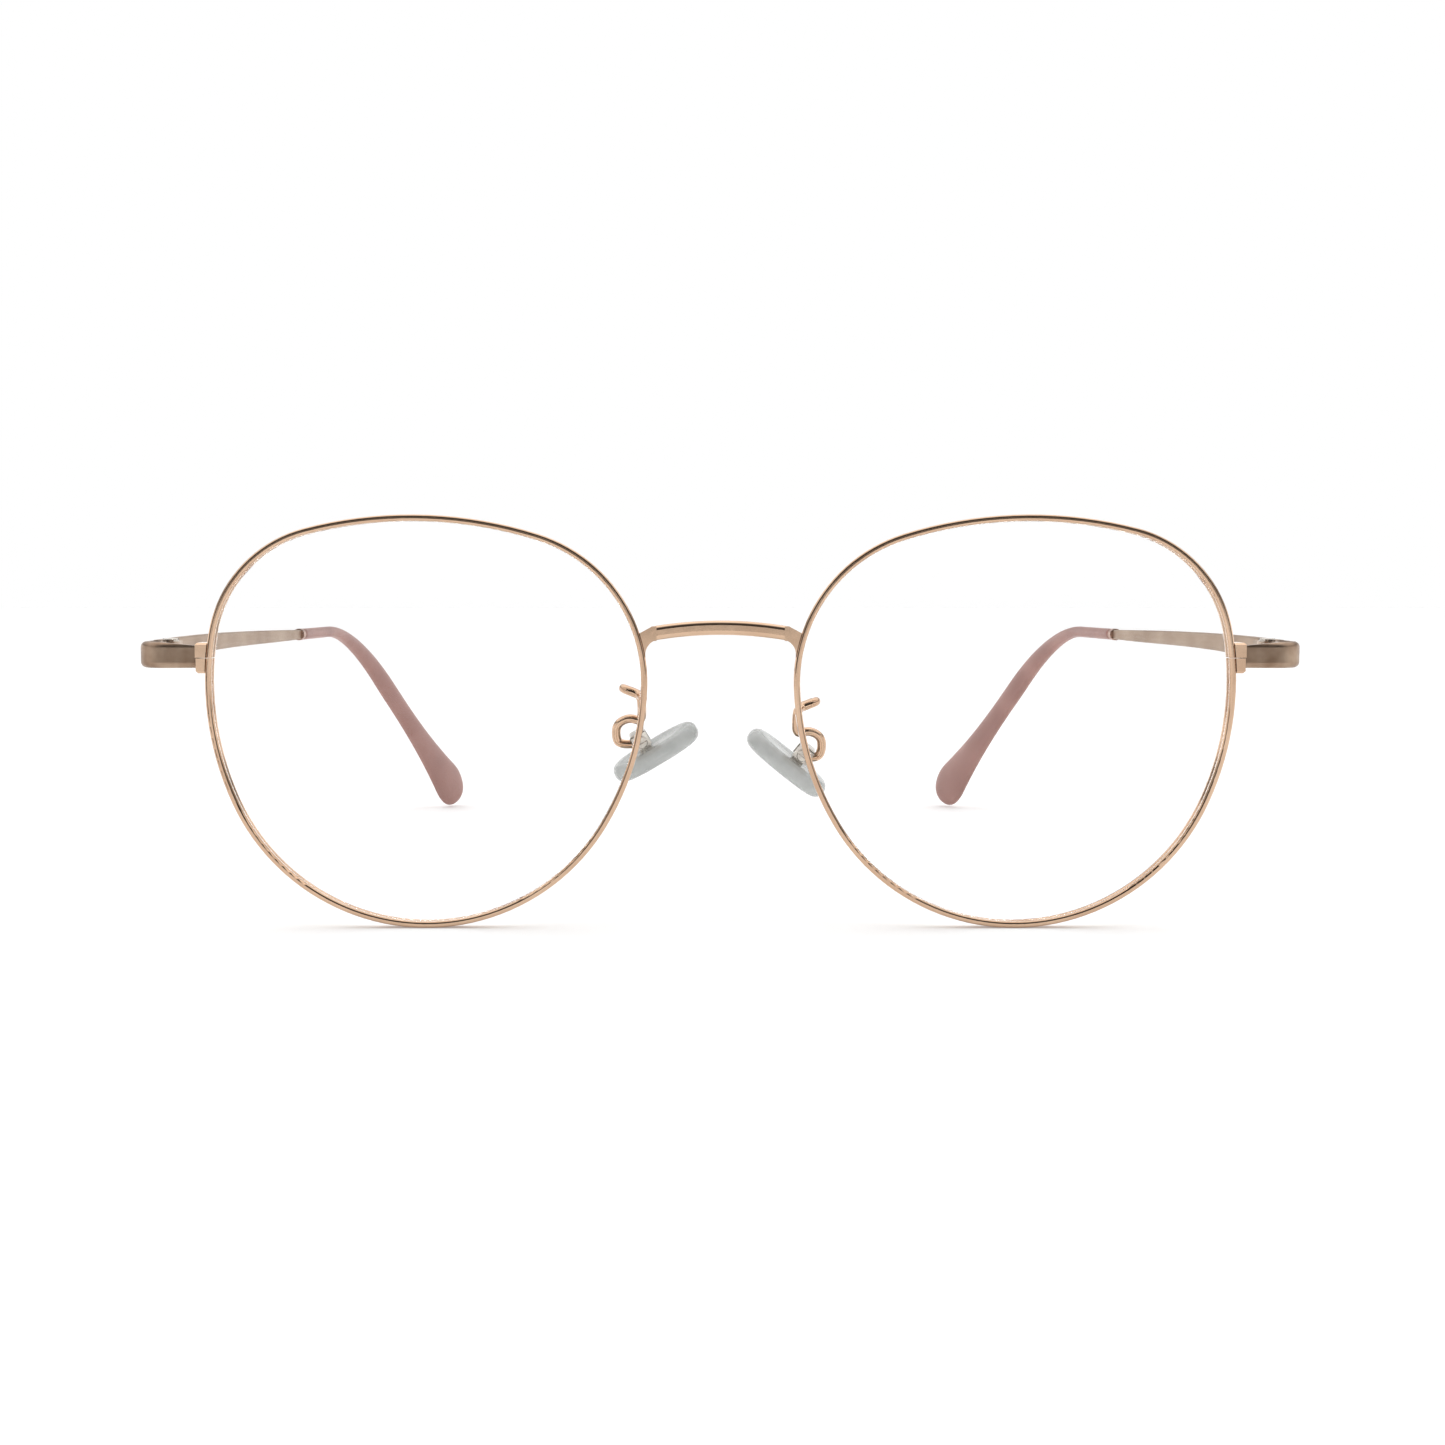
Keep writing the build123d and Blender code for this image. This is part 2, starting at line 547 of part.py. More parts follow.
def make_pad_box():
    """Small channel at the end of the pad arm, open towards the pad."""
    whole = Pos(PIVOT_ALONG, 0, PIVOT_HEIGHT + (BOX_ABOVE - BOX_BELOW) / 2) * Box(
        BOX_LENGTH, BOX_WIDTH, BOX_ABOVE + BOX_BELOW)
    whole = fillet(whole.faces().sort_by(Axis.Z)[-1].edges(), BOX_ROUND)
    slot = Pos(PIVOT_ALONG, 0, PIVOT_HEIGHT + (BOX_SLOT_ABOVE - BOX_BELOW) / 2) * Box(
        BOX_LENGTH, BOX_SLOT, BOX_SLOT_ABOVE + BOX_BELOW)
    bore = Pos(PIVOT_ALONG, 0, PIVOT_HEIGHT) * Rot(90, 0, 0) * Cylinder(PAD_SCREW_RADIUS, 2 * BEYOND)
    return whole - slot - bore


def make_pad_screw():
    """Screw through the box and the eye; its head is at the front."""
    shaft = Pos(PIVOT_ALONG, 0, PIVOT_HEIGHT) * Rot(90, 0, 0) * Cylinder(PAD_SCREW_RADIUS, BOX_WIDTH)
    face = -BOX_WIDTH / 2
    head = Pos(PIVOT_ALONG, face - PAD_HEAD_HEIGHT / 2, PIVOT_HEIGHT) * Rot(90, 0, 0) * Cylinder(
        PAD_HEAD_RADIUS, PAD_HEAD_HEIGHT)
    head = chamfer(head.edges().sort_by(Axis.Y)[0], HEAD_CHAMFER)
    slot = Pos(PIVOT_ALONG, face - PAD_HEAD_HEIGHT + SLOT_DEPTH / 2, PIVOT_HEIGHT) * Box(
        2 * PAD_HEAD_RADIUS, SLOT_DEPTH, SLOT_WIDTH)
    return shaft + head - slot


def make_pad_arm(fit, frame):
    """Bent wire from the rear of the rim, round two bends, to the lower end of the box."""
    raised = [(x, y, z + fit["arm_rise"]) for x, y, z in PAD_ARM_ROUTE]
    end = frame.from_local_coords((PIVOT_ALONG + BOX_LENGTH / 2, 0, PIVOT_HEIGHT))
    path = FilletPolyline(*raised, end, radius=PAD_ARM_RADII)
    start = Plane(origin=path @ 0, z_dir=path % 0)
    wire = sweep(start * Circle(PAD_WIRE_RADIUS), path=path)
    return wire - slab(rim_face(0), -BEYOND, RIM_DEPTH)


# ---------------------------------------------------------------- assembly

def make_side(side):
    """Every piece of the +X side, set as the named side is; the right side is mirrored afterwards."""
    fit = FITTING[side]
    rim_space = slab(rim_face(0), -BEYOND, LOCK_DEPTH + BEYOND)
    pieces = {
        "rim": make_rim(),
        "lens": make_lens(),
        "end_piece": make_end_piece(),
        "rim_lock_upper": lock_half(rim_space, True),
        "rim_lock_lower": lock_half(rim_space, False),
        "rim_lock_screw": make_lock_screw(),
        "front_hinge": make_front_hinge(),
        "hinge_screw": make_hinge_screw(),
    }
    at_hinge = Pos(HINGE_X, HINGE_Y, HINGE_Z) * Rot(0, 0, fit["toe_in"])
    pieces["temple_hinge"] = at_hinge * make_temple_hinge()
    pieces["temple_arm"] = at_hinge * make_temple_arm()
    pieces["tip_collar"] = at_hinge * make_tip_collar()
    pieces["temple_tip"] = at_hinge * make_temple_tip()
    frame = pad_frame(fit)
    insert = make_pad_insert()
    pieces["pad_insert"] = frame.location * insert
    pieces["nose_pad"] = frame.location * make_nose_pad(insert)
    pieces["pad_box"] = frame.location * make_pad_box()
    pieces["pad_screw"] = frame.location * make_pad_screw()
    pieces["pad_arm"] = make_pad_arm(fit, frame)
    return pieces


def main():
    parts = {"bridge": make_bridge(slab(rim_face(0), -BEYOND, RIM_DEPTH + BEYOND))}
    for side in FITTING:
        for name, piece in make_side(side).items():
            parts[f"{side}_{name}"] = mirror(piece, Plane.YZ) if side == "right" else piece
    boxes = [piece.bounding_box() for piece in parts.values()]
    front = min(box.min.Y for box in boxes)
    rear = max(box.max.Y for box in boxes)
    origin = Vector(0, (front + rear) / 2, min(box.min.Z for box in boxes))
    os.makedirs("parts", exist_ok=True)
    for name, piece in parts.items():
        export_step(Pos(*(-origin)) * piece, f"parts/{name}.step")
    print("moved by", -origin, "length", rear - front)
    print("hinge axis at", HINGE_X, HINGE_Y - origin.Y, HINGE_Z - origin.Z)
    for side in FITTING:
        frame = pad_frame(FITTING[side])
        pivot = frame.from_local_coords((PIVOT_ALONG, 0, PIVOT_HEIGHT)) - origin
        print(side, "pad pivot (left-hand form) at", pivot, "axis", frame.y_dir)


main()
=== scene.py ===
import json
import math

import bpy
import bmesh
from mathutils import Euler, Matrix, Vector


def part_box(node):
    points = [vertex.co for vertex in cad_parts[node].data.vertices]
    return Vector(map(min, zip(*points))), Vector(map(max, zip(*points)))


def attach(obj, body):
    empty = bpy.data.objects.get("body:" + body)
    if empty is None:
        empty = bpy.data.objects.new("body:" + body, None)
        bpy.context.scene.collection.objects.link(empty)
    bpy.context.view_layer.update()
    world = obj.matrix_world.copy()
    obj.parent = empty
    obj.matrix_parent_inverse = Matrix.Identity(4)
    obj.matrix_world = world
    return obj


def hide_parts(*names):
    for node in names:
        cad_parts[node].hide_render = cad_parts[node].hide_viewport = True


# The eyeglasses' looks: materials for the metal, lenses and screws, and smooth meshes for the plastic tips, the
# nose pads and their wires. Lengths are in metres, in the frame of the CAD model.

MM = 0.001
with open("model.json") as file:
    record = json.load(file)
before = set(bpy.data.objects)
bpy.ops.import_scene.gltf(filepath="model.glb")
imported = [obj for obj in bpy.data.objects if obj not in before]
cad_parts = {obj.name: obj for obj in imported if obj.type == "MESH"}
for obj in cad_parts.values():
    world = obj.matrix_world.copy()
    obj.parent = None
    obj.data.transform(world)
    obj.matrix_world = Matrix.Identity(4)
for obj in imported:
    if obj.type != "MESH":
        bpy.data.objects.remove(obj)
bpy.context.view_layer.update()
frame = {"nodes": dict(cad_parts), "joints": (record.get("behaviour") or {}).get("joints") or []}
SIDES = ("right", "left")


# ---------------------------------------------------------------- material helpers

class Recipe:
    """A new material with its Principled shader and short calls for adding and joining nodes."""

    def __init__(self, name):
        self.material = bpy.data.materials.new(name)
        self.material.use_nodes = True
        self.nodes = self.material.node_tree.nodes
        self.links = self.material.node_tree.links
        self.shader = self.nodes["Principled BSDF"]
        self.coordinates = self.nodes.new("ShaderNodeTexCoord").outputs["Object"]

    def add(self, kind, **settings):
        node = self.nodes.new(kind)
        for key, value in settings.items():
            if key in node.inputs:
                node.inputs[key].default_value = value
            else:
                setattr(node, key, value)
        return node

    def set(self, **values):
        for key, value in values.items():
            self.shader.inputs[key.replace("_", " ")].default_value = value

    def noise(self, scale, detail=3.0, stretch=(1, 1, 1)):
        """Noise in object space; stretch above 1 makes it finer along that axis."""
        mapping = self.add("ShaderNodeMapping")
        mapping.inputs["Scale"].default_value = stretch
        self.links.new(self.coordinates, mapping.inputs["Vector"])
        noise = self.add("ShaderNodeTexNoise", Scale=scale, Detail=detail)
        self.links.new(mapping.outputs["Vector"], noise.inputs["Vector"])
        return noise.outputs["Fac"]

    def ramp(self, factor, *stops):
        """Colours along a factor, from (position, colour) pairs."""
        ramp = self.add("ShaderNodeValToRGB").color_ramp
        node = self.nodes[-1]
        while len(ramp.elements) < len(stops):
            ramp.elements.new(0.5)
        for element, (position, colour) in zip(ramp.elements, stops):
            element.position = position
            element.color = (*colour, 1)
        self.links.new(factor, node.inputs["Fac"])
        return node.outputs["Color"]

    def range(self, factor, low, high):
        """A factor from 0 to 1 turned into a value from low to high."""
        node = self.add("ShaderNodeMapRange")
        node.inputs["To Min"].default_value = low
        node.inputs["To Max"].default_value = high
        self.links.new(factor, node.inputs["Value"])
        return node.outputs["Result"]

    def join(self, output, socket):
        self.links.new(output, self.shader.inputs[socket])

    def bump(self, height, strength, distance):
        node = self.add("ShaderNodeBump", Strength=strength, Distance=distance)
        self.links.new(height, node.inputs["Height"])
        self.join(node.outputs["Normal"], "Normal")


GRAIN_SCALE = 900
GRAIN_HEIGHT = 0.02 * MM


def plated(name, tones, roughness, grain, grain_bump, patch_scale=260, coat=0.0):
    """Plated metal: three tones in soft patches, and fine lines; grain is the stretch of their noise."""
    recipe = Recipe(name)
    dark, middle, light = tones
    recipe.set(Metallic=1.0, Coat_Weight=coat, Coat_Roughness=0.12)
    patches = recipe.noise(patch_scale, 2.0)
    recipe.join(recipe.ramp(patches, (0.3, dark), (0.5, middle), (0.72, light)), "Base Color")
    lines = recipe.noise(GRAIN_SCALE, 2.0, grain)
    recipe.join(recipe.range(lines, *roughness), "Roughness")
    recipe.bump(lines, grain_bump, GRAIN_HEIGHT)
    return recipe.material


def rose_gold():
    """Polished rose-gold plating of the rims, bridge and pad arms."""
    tones = ((0.58, 0.385, 0.26), (0.63, 0.43, 0.295), (0.69, 0.485, 0.34))
    return plated("polished_rose_gold", tones, (0.07, 0.15), (1, 6, 1), 0.05, patch_scale=140, coat=0.2)


def end_piece_metal():
    """End pieces: darker plating, brushed up and down."""
    tones = ((0.26, 0.17, 0.115), (0.35, 0.245, 0.175), (0.44, 0.325, 0.24))
    return plated("end_piece_brushed", tones, (0.24, 0.5), (7, 7, 0.25), 0.35, patch_scale=420)


def arm_metal():
    """Temples: brushed along their length."""
    tones = ((0.33, 0.23, 0.165), (0.39, 0.285, 0.21), (0.45, 0.34, 0.26))
    return plated("temple_brushed", tones, (0.26, 0.5), (5, 0.12, 5), 0.3, patch_scale=150)


def hinge_metal():
    """Satin leaves of the hinges."""
    tones = ((0.36, 0.28, 0.22), (0.5, 0.4, 0.32), (0.62, 0.51, 0.42))
    return plated("hinge_satin", tones, (0.22, 0.42), (4, 4, 4), 0.2, patch_scale=500)


def collar_metal():
    """Reddish collars between the temples and the tips."""
    tones = ((0.34, 0.2, 0.155), (0.44, 0.28, 0.22), (0.56, 0.38, 0.31))
    return plated("collar_satin", tones, (0.22, 0.4), (1, 8, 1), 0.25, patch_scale=500)


def steel(name, grain):
    """Pale steel of the screws and the pad fittings."""
    tones = ((0.38, 0.35, 0.31), (0.56, 0.52, 0.47), (0.72, 0.68, 0.62))
    return plated(name, tones, (0.16, 0.36), grain, 0.2, patch_scale=600)


def tip_plastic():
    """Dusty-pink plastic with soft clouding and a fine skin."""
    recipe = Recipe("tip_plastic")
    recipe.set(Coat_Weight=0.06, Coat_Roughness=0.2, Subsurface_Weight=0.08, IOR=1.48,
               Specular_IOR_Level=0.35)
    recipe.shader.inputs["Subsurface Radius"].default_value = (0.6 * MM, 0.3 * MM, 0.2 * MM)
    clouds = recipe.noise(160, 3.0)
    recipe.join(recipe.ramp(clouds, (0.25, (0.31, 0.15, 0.125)), (0.5, (0.36, 0.18, 0.15)),
                            (0.75, (0.42, 0.22, 0.185))), "Base Color")
    skin = recipe.noise(2600, 2.0)
    recipe.join(recipe.range(skin, 0.3, 0.44), "Roughness")
    recipe.bump(skin, 0.12, 0.03 * MM)
    return recipe.material


def pad_plastic():
    """Clear soft plastic of the nose pads, a little milky."""
    recipe = Recipe("pad_plastic")
    recipe.set(Transmission_Weight=0.35, IOR=1.43, Coat_Weight=0.2, Coat_Roughness=0.1)
    milk = recipe.noise(320, 3.0)
    recipe.join(recipe.ramp(milk, (0.3, (0.4, 0.425, 0.405)), (0.7, (0.54, 0.56, 0.54))), "Base Color")
    recipe.join(recipe.range(milk, 0.14, 0.3), "Roughness")
    recipe.join(recipe.range(milk, 0.6, 0.76), "Alpha")
    skin = recipe.noise(1500, 2.0)
    recipe.bump(skin, 0.06, 0.02 * MM)
    return recipe.material


def lens_glass():
    """Clear coated lens: almost invisible face on, brighter at a glancing angle, faintly smeared."""
    recipe = Recipe("lens")
    recipe.set(IOR=1.5, Specular_IOR_Level=0.5, Transmission_Weight=0.95)
    smears = recipe.noise(60, 4.0, (1, 1, 2.5))
    recipe.join(recipe.ramp(smears, (0.3, (0.9, 0.95, 0.95)), (0.7, (0.97, 0.99, 1.0))), "Base Color")
    recipe.join(recipe.range(smears, 0.02, 0.08), "Roughness")
    edge = recipe.add("ShaderNodeLayerWeight", Blend=0.25)
    recipe.join(recipe.range(edge.outputs["Fresnel"], 0.012, 0.3), "Alpha")
    return recipe.material


# ---------------------------------------------------------------- places and mesh helpers

def mirror(side):
    """Pieces are worked out on the wearer's left, +X; this turns their X over for the right."""
    return -1 if side == "right" else 1


def joint_place(name):
    """Where a joint is, brought over to the wearer's left."""
    place = Vector(next(joint for joint in frame["joints"] if joint["name"] == name)["pos_m"])
    place.x = abs(place.x)
    return place


def ring_mesh(name, rings, material, body, node):
    """A closed smooth mesh from rings of points, capped at both ends, that replaces a CAD node."""
    mesh = bpy.data.meshes.new(name)
    build = bmesh.new()
    grid = [[build.verts.new(point) for point in ring] for ring in rings]
    count = len(rings[0])
    for first, second in zip(grid, grid[1:]):
        for i in range(count):
            j = (i + 1) % count
            build.faces.new((first[i], first[j], second[j], second[i]))
    build.faces.new(list(reversed(grid[0])))
    build.faces.new(grid[-1])
    bmesh.ops.recalc_face_normals(build, faces=build.faces)
    build.to_mesh(mesh)
    build.free()
    for face in mesh.polygons:
        face.use_smooth = True
    mesh.materials.append(material)
    piece = bpy.data.objects.new(name, mesh)
    bpy.context.scene.collection.objects.link(piece)
    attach(piece, body)
    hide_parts(node)
    return piece


# ---------------------------------------------------------------- plastic tips

TOE_IN = {"right": 5.3, "left": 6.0}    # degrees
STRIP_MIDDLE = 1.8 * MM                 # of the temple, outwards from the hinge axis
CORE_Z = 0.62 * MM                      # above the middle of the hinge
TIP_START = 63.8 * MM
BEND_START = 80 * MM
BEND_RADIUS = 30 * MM
BEND_ANGLE = math.radians(48)
BEND_LEAN = math.radians(21)
BEND_LENGTH = BEND_RADIUS * BEND_ANGLE
TIP_STRAIGHT = 33.4 * MM                # behind the bend
TIP_LENGTH = BEND_START - TIP_START + BEND_LENGTH + TIP_STRAIGHT
TIP_HEIGHT = 1.75 * MM
TIP_THICKNESS = 1.7 * MM
TIP_THICKENING = 0.45 * MM
NECK_START = 0.22                       # shares of the tip's length
NECK_SPAN = 0.38
NECK_SWELL = 1.9 * MM
PADDLE_START = 0.62
PADDLE_SWELL = 6 * MM
PADDLE_POWER = 2.2
LAST_SHARE = 0.9998                     # stops just short of the end, where the section has no size
TIP_STATIONS = 90
TIP_POINTS = 40
PADDLE_END = 6 * MM
PADDLE_EDGE = 1.4 * MM


def temple_point(distance):
    """Point and direction of a temple's centre line, made straight back from its hinge, on the +X side."""
    along = Vector((0, 1, 0))
    across = Vector((-math.sin(BEND_LEAN), 0, -math.cos(BEND_LEAN)))
    if distance <= BEND_START:
        return Vector((STRIP_MIDDLE, distance, CORE_Z)), along
    start = Vector((STRIP_MIDDLE, BEND_START, CORE_Z))
    turn = min(distance - BEND_START, BEND_LENGTH) / BEND_RADIUS
    arc = along * BEND_RADIUS * math.sin(turn) + across * BEND_RADIUS * (1 - math.cos(turn))
    direction = along * math.cos(turn) + across * math.sin(turn)
    return start + arc + direction * max(distance - BEND_START - BEND_LENGTH, 0), direction


def rounded_off(from_end, length):
    """Share of the full size that a round end of this length leaves, this far from the end."""
    return math.sqrt(1 - max(1 - from_end / length, 0) ** 2)


def tip_size(distance):
    """Height and thickness of the tip, this far along it."""
    share = distance / TIP_LENGTH
    rise = min(max((share - NECK_START) / NECK_SPAN, 0), 1)
    neck = rise**2 * (3 - 2 * rise)
    paddle = (max(share - PADDLE_START, 0) / (1 - PADDLE_START)) ** PADDLE_POWER
    from_end = max(TIP_LENGTH - distance, 0)
    height = TIP_HEIGHT + NECK_SWELL * neck + PADDLE_SWELL * paddle
    thickness = TIP_THICKNESS + TIP_THICKENING * (neck + paddle)
    return height * rounded_off(from_end, PADDLE_END), thickness * rounded_off(from_end, PADDLE_EDGE)


def make_tip(side, material):
    """Flattened plastic sleeve that swells into a paddle, along the bent end of the temple."""
    place = joint_place(f"{side}_temple_fold")
    turn = Euler((0, 0, math.radians(TOE_IN[side]))).to_matrix()
    rings = []
    for i in range(TIP_STATIONS + 1):
        share = math.sin(math.pi / 2 * i / TIP_STATIONS)
        distance = TIP_LENGTH * min(share, LAST_SHARE)
        height, thickness = tip_size(distance)
        point, direction = temple_point(TIP_START + distance)
        sideways = direction.cross(Vector((0, 0, 1))).normalized()
        upwards = sideways.cross(direction).normalized()
        ring = []
        for k in range(TIP_POINTS):
            angle = 2 * math.pi * k / TIP_POINTS
            offset = sideways * math.cos(angle) * thickness / 2 + upwards * math.sin(angle) * height / 2
            spot = place + turn @ (point + offset)
            ring.append(Vector((spot.x * mirror(side), spot.y, spot.z)))
        rings.append(ring)
    return ring_mesh(f"{side}_tip_sleeve", rings, material, f"{side}_temple", f"{side}_temple_tip")


# ---------------------------------------------------------------- nose pads

PAD_LENGTH = 12 * MM
PAD_WIDTH = 7.4 * MM
PAD_THICKNESS = 2.3 * MM
PAD_EDGE = 1.05 * MM
PAD_SPLAY = math.radians(8)
PAD_CROWN = 0.12 * MM       # hollow of the flat faces' middle, so that they aren't dead flat
PAD_CENTRE = 0.05           # share of the oval's size at the small facet in its middle
PAD_TILT = {"right": 31.0, "left": 39.0}
PIVOT_ALONG = 0.86 * MM
PIVOT_ABOVE = 1.1 * MM
PIVOT_HEIGHT = PAD_THICKNESS / 2 + PIVOT_ABOVE
PAD_BLUNTNESS = 0.8
PAD_POINTS = 56
PAD_EDGE_RINGS = 8
PAD_FACE_RINGS = 5


def blunt(value):
    """Turns a circle's sine or cosine into that of a slightly squarer oval."""
    return math.copysign(abs(value) ** PAD_BLUNTNESS, value)


def make_pad(side, material):
    """Oval pad with rounded edges, placed from its pivot and its tilt."""
    pivot = joint_place(f"{side}_pad_tilt")
    tilt = math.radians(PAD_TILT[side])
    along = Vector((math.cos(tilt), 0, -math.sin(tilt)))
    away = Vector((math.sin(tilt) * math.cos(PAD_SPLAY), -math.sin(PAD_SPLAY),
                   math.cos(tilt) * math.cos(PAD_SPLAY)))
    across = away.cross(along)
    centre = pivot - along * PIVOT_ALONG - away * PIVOT_HEIGHT
    half = PAD_THICKNESS / 2
    profile = []
    for i in range(PAD_FACE_RINGS):
        share = PAD_CENTRE + (1 - PAD_CENTRE) * i / PAD_FACE_RINGS
        profile.append((share, 0.0, -half + PAD_CROWN * (1 - share)))
    for i in range(PAD_EDGE_RINGS + 1):
        angle = -math.pi / 2 + math.pi * i / PAD_EDGE_RINGS
        height = (half - PAD_EDGE) * (1 if angle > 0 else -1) + PAD_EDGE * math.sin(angle)
        profile.append((1.0, PAD_EDGE * math.cos(angle), height))
    for i in reversed(range(PAD_FACE_RINGS)):
        share = PAD_CENTRE + (1 - PAD_CENTRE) * i / PAD_FACE_RINGS
        profile.append((share, 0.0, half - PAD_CROWN * (1 - share)))
    rings = []
    for share, outwards, height in profile:
        ring = []
        for k in range(PAD_POINTS):
            angle = 2 * math.pi * k / PAD_POINTS
            x = ((PAD_LENGTH / 2 - PAD_EDGE) * share + outwards) * blunt(math.cos(angle))
            y = ((PAD_WIDTH / 2 - PAD_EDGE) * share + outwards) * blunt(math.sin(angle))
            spot = centre + along * x + across * y + away * height
            ring.append(Vector((spot.x * mirror(side), spot.y, spot.z)))
        rings.append(ring)
    piece = ring_mesh(f"{side}_pad_oval", rings, material, f"{side}_pad", f"{side}_nose_pad")
    return piece


# ---------------------------------------------------------------- pad arms

PAD_WIRE = 0.56 * MM        # radius
PAD_WIRE_LAP = 0.9 * MM     # how far the wire's end lies inside the corner of the pad box
ARM_RISE = {"right": 0.75, "left": -0.85}    # in millimetres, as the route
# Route of a pad arm from its foot behind the rim, in millimetres: across, behind the rims' front, up.
PAD_ARM_ROUTE = (
    (9.45, 1.75, 27.25),
    (9.5, 3.4, 27.45),
    (11.6, 3.7, 28.2),
    (12.0, 4.9, 28.35),
    (11.6, 6.1, 28.1),
    (9.75, 6.5, 27.4),
    (9.6, 6.9, 25.6),
    (9.7, 7.3, 24.0),
    (11.2, 7.6, 24.5),
    (12.75, 8.0, 23.7),
    (12.95, 8.4, 22.2),
    (12.5, 8.7, 20.9),
)


def make_pad_arm(side, material):
    """Bent wire with round curls, in place of the plainer CAD wire."""
    rim_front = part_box(f"{side}_rim")[0].y
    box_low, box_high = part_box(f"{side}_pad_box")
    outer_x = max(abs(box_low.x), abs(box_high.x))
    rise = ARM_RISE[side]
    points = [Vector((x * MM, rim_front + y * MM, (z + rise) * MM)) for x, y, z in PAD_ARM_ROUTE]
    points.append(Vector((outer_x - PAD_WIRE_LAP, (box_low.y + box_high.y) / 2, box_low.z + PAD_WIRE_LAP)))
    curve = bpy.data.curves.new(f"{side}_pad_wire_line", "CURVE")
    curve.dimensions = "3D"
    curve.bevel_depth = PAD_WIRE
    curve.bevel_resolution = 6
    curve.resolution_u = 10
    curve.use_fill_caps = True
    spline = curve.splines.new("NURBS")
    spline.points.add(len(points) - 1)
    for point, place in zip(spline.points, points):
        point.co = (place.x * mirror(side), place.y, place.z, 1)
    spline.order_u = 3
    spline.use_endpoint_u = True
    line = bpy.data.objects.new(f"{side}_pad_wire_line", curve)
    mesh = bpy.data.meshes.new_from_object(line)
    mesh.name = f"{side}_pad_wire"
    for face in mesh.polygons:
        face.use_smooth = True
    mesh.materials.clear()
    mesh.materials.append(material)
    bpy.data.objects.remove(line)
    piece = bpy.data.objects.new(f"{side}_pad_wire", mesh)
    bpy.context.scene.collection.objects.link(piece)
    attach(piece, "front")
    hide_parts(f"{side}_pad_arm")


# ---------------------------------------------------------------- materials on the CAD pieces

def paint(material, *names):
    """Gives CAD nodes a material; a name without a side stands for both sides."""
    for name in names:
        for node in ([name] if name in frame["nodes"] else [f"{side}_{name}" for side in SIDES]):
            for slot in frame["nodes"][node].material_slots:
                slot.material = material


def dress():
    """Materials on the CAD pieces, and the smoother tips, pads and pad wires in place of theirs."""
    gold = rose_gold()
    paint(gold, "bridge", "rim", "rim_lock_upper", "rim_lock_lower")
    paint(end_piece_metal(), "end_piece")
    paint(arm_metal(), "temple_arm")
    paint(hinge_metal(), "front_hinge", "temple_hinge")
    paint(collar_metal(), "tip_collar")
    paint(steel("screw_steel", (6, 6, 6)), "hinge_screw", "pad_screw", "rim_lock_screw")
    paint(steel("pad_fitting_metal", (2, 6, 2)), "pad_box", "pad_insert")
    paint(lens_glass(), "lens")
    tips = tip_plastic()
    pads = pad_plastic()
    for side in SIDES:
        make_tip(side, tips)
        make_pad_arm(side, gold)
        make_pad(side, pads)


# ---------------------------------------------------------------- floor, light and camera

FLOOR_REACH = 3.0
PAPER_TONES = ((0.3, (0.93, 0.93, 0.93)), (0.7, (0.95, 0.95, 0.95)))


def make_floor():
    mesh = bpy.data.meshes.new("floor")
    corners = [(-1, -1), (1, -1), (1, 1), (-1, 1)]
    mesh.from_pydata([(x * FLOOR_REACH, y * FLOOR_REACH, 0) for x, y in corners], [], [(0, 1, 2, 3)])
    floor = bpy.data.objects.new("floor", mesh)
    bpy.context.scene.collection.objects.link(floor)
    recipe = Recipe("floor_paper")
    recipe.set(Roughness=0.9, Specular_IOR_Level=0.1, Emission_Strength=0.2)
    recipe.shader.inputs["Emission Color"].default_value = (1, 1, 1, 1)
    recipe.join(recipe.ramp(recipe.noise(4, 2.0), *PAPER_TONES), "Base Color")
    mesh.materials.append(recipe.material)


# Brightness of the studio, as (position, brightness) from front to rear, and upwards from the horizon.
FRONT_TO_REAR = ((0.0, 0.1), (0.16, 0.05), (0.3, 0.5), (0.5, 1.0), (1.0, 1.0))
UPWARDS = ((0.0, 1.0), (0.2, 1.0), (0.28, 0.2), (0.38, 0.2), (0.48, 1.0))
BACKDROP = 0.77
STUDIO_STRENGTH = 1.3
COLOUR_A, COLOUR_B = 6, 7      # a Mix node's colour inputs, and its colour output
COLOUR_OUT = 2


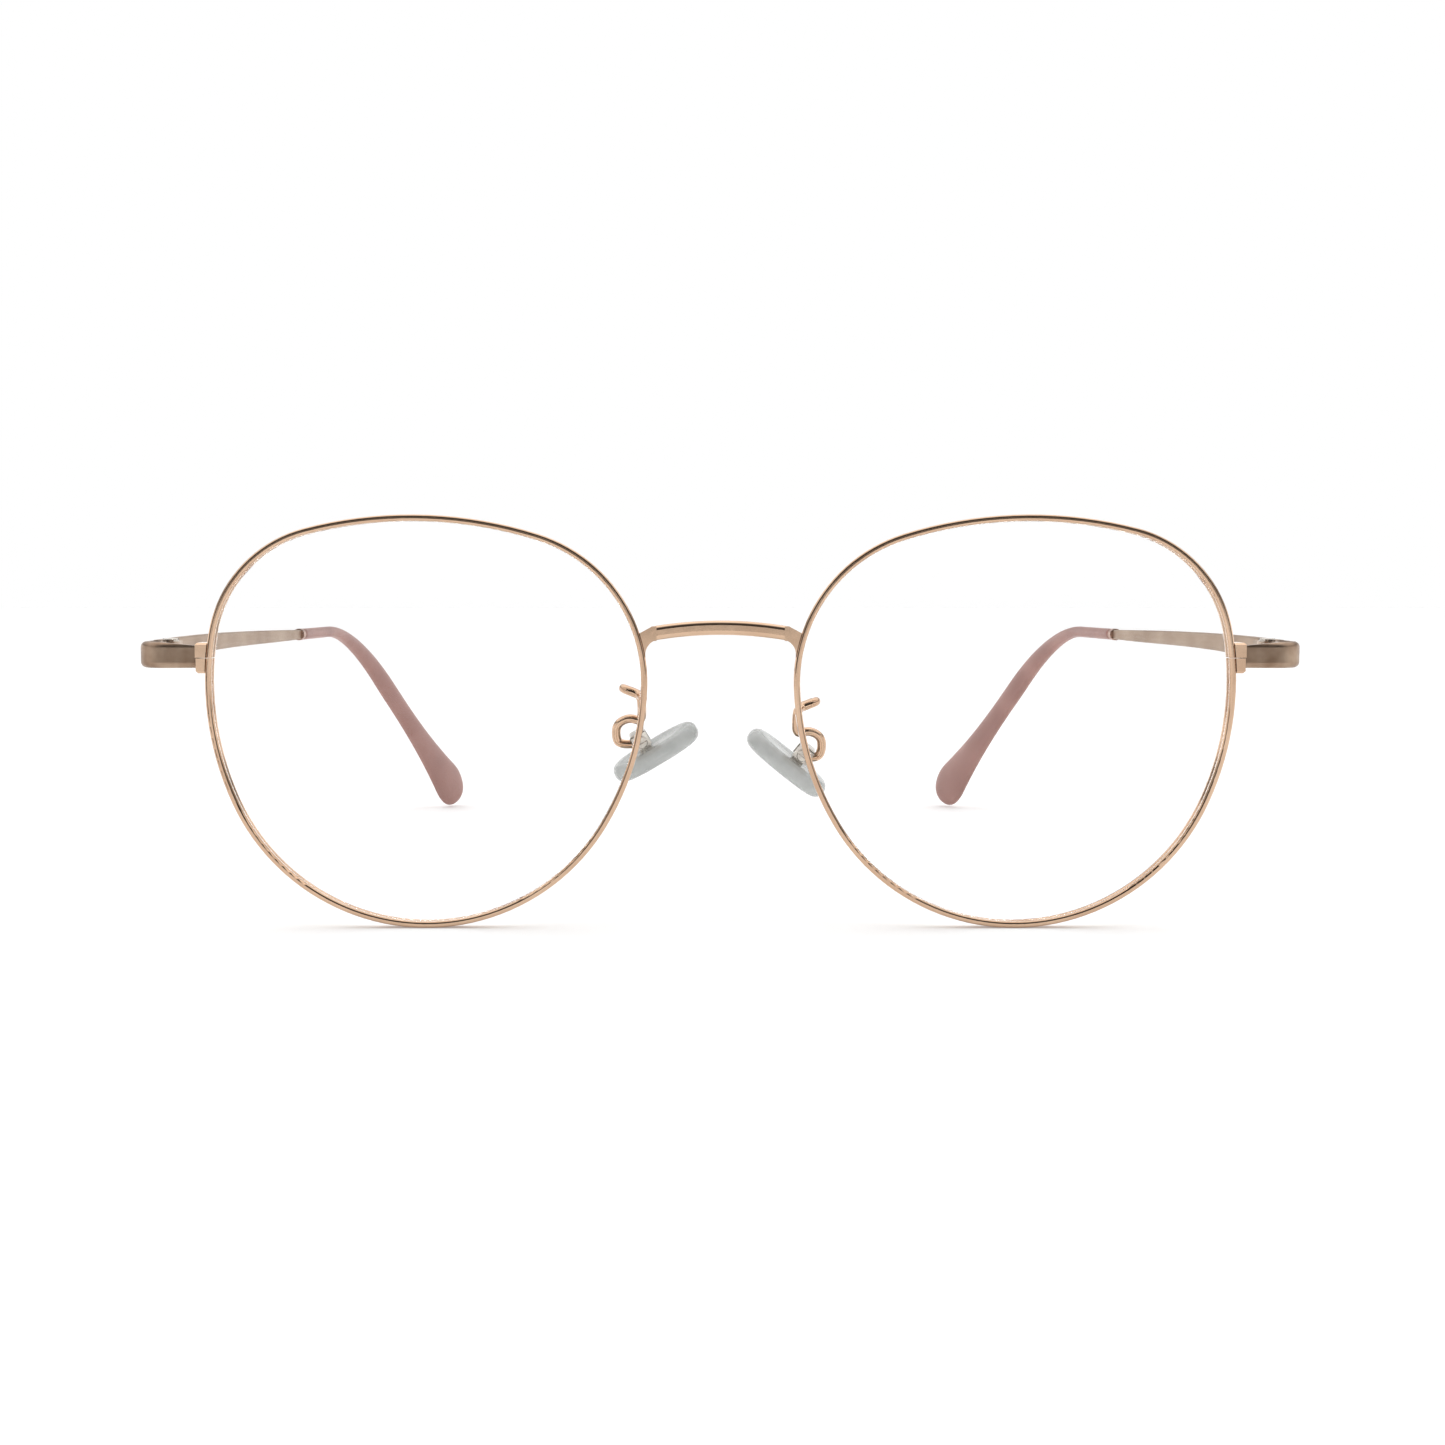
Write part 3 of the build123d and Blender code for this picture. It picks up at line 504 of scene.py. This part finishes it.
def make_world():
    """Pale studio, with dim bands in front and above that give the metal its dark lines."""
    world = bpy.data.worlds.new("studio")
    bpy.context.scene.world = world
    world.use_nodes = True
    nodes = world.node_tree.nodes
    links = world.node_tree.links
    coordinates = nodes.new("ShaderNodeTexCoord")
    split = nodes.new("ShaderNodeSeparateXYZ")
    links.new(coordinates.outputs["Generated"], split.inputs["Vector"])

    def level(axis, low, stops):
        """Brightness along one axis of the direction, from low at position 0 up to 1."""
        node = nodes.new("ShaderNodeValToRGB")
        ramp = node.color_ramp
        while len(ramp.elements) < len(stops):
            ramp.elements.new(0.5)
        for element, (position, value) in zip(ramp.elements, stops):
            element.position = position
            element.color = (value, value, value, 1)
        reach = nodes.new("ShaderNodeMapRange")
        reach.inputs["From Min"].default_value = low
        links.new(split.outputs[axis], reach.inputs["Value"])
        links.new(reach.outputs["Result"], node.inputs["Fac"])
        return node.outputs["Color"]

    front_to_rear = level("Y", -1, FRONT_TO_REAR)
    up = level("Z", 0, UPWARDS)
    product = nodes.new("ShaderNodeMix")
    product.data_type = "RGBA"
    product.blend_type = "MULTIPLY"
    product.inputs["Factor"].default_value = 1.0
    links.new(front_to_rear, product.inputs[COLOUR_A])
    links.new(up, product.inputs[COLOUR_B])
    path = nodes.new("ShaderNodeLightPath")
    mix = nodes.new("ShaderNodeMix")
    mix.data_type = "RGBA"
    links.new(path.outputs["Is Camera Ray"], mix.inputs["Factor"])
    links.new(product.outputs[COLOUR_OUT], mix.inputs[COLOUR_A])
    mix.inputs[COLOUR_B].default_value = (BACKDROP, BACKDROP, BACKDROP, 1)
    background = nodes["Background"]
    links.new(mix.outputs[COLOUR_OUT], background.inputs["Color"])
    background.inputs["Strength"].default_value = STUDIO_STRENGTH


def make_light(name, place, size, power, target):
    data = bpy.data.lights.new(name, "AREA")
    data.shape = "RECTANGLE"
    data.size, data.size_y = size
    data.energy = power
    light = bpy.data.objects.new(name, data)
    light.location = place
    light.rotation_euler = (target - Vector(place)).to_track_quat("-Z", "Y").to_euler()
    bpy.context.scene.collection.objects.link(light)


# Name, place, width and height in metres, and power in watts.
SOFTBOXES = (
    ("top_softbox", (0.0, -0.05, 0.75), (0.9, 0.7), 0.6),
    ("left_softbox", (-0.6, -0.35, 0.35), (0.35, 0.5), 0.25),
    ("right_softbox", (0.6, -0.3, 0.3), (0.35, 0.5), 0.2),
    ("rear_softbox", (0.0, 0.7, 0.4), (0.9, 0.4), 0.25),
)
LIGHT_TARGET = Vector((0, 0, 0.02))


def make_lights():
    for name, place, size, power in SOFTBOXES:
        make_light(name, place, size, power, LIGHT_TARGET)


CAMERA_X = -5.8 * MM
CAMERA_BACK = 235 * MM       # from the front of the rims
CAMERA_Z = 42 * MM
CAMERA_PITCH = math.radians(4.1)
SENSOR = 36.0
LENS = 48.5
SHIFT_X = 0.0345


def make_camera():
    rim_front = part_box("left_rim")[0].y
    data = bpy.data.cameras.new("camera")
    data.sensor_width = SENSOR
    data.lens = LENS
    data.shift_x = SHIFT_X
    data.clip_start = 0.01
    camera = bpy.data.objects.new("camera", data)
    camera.location = (CAMERA_X, rim_front - CAMERA_BACK, CAMERA_Z)
    camera.rotation_euler = (math.pi / 2 - CAMERA_PITCH, 0, 0)
    bpy.context.scene.collection.objects.link(camera)
    bpy.context.scene.camera = camera


bpy.context.scene.view_settings.view_transform = "Standard"
dress()
make_floor()
make_world()
make_lights()
make_camera()
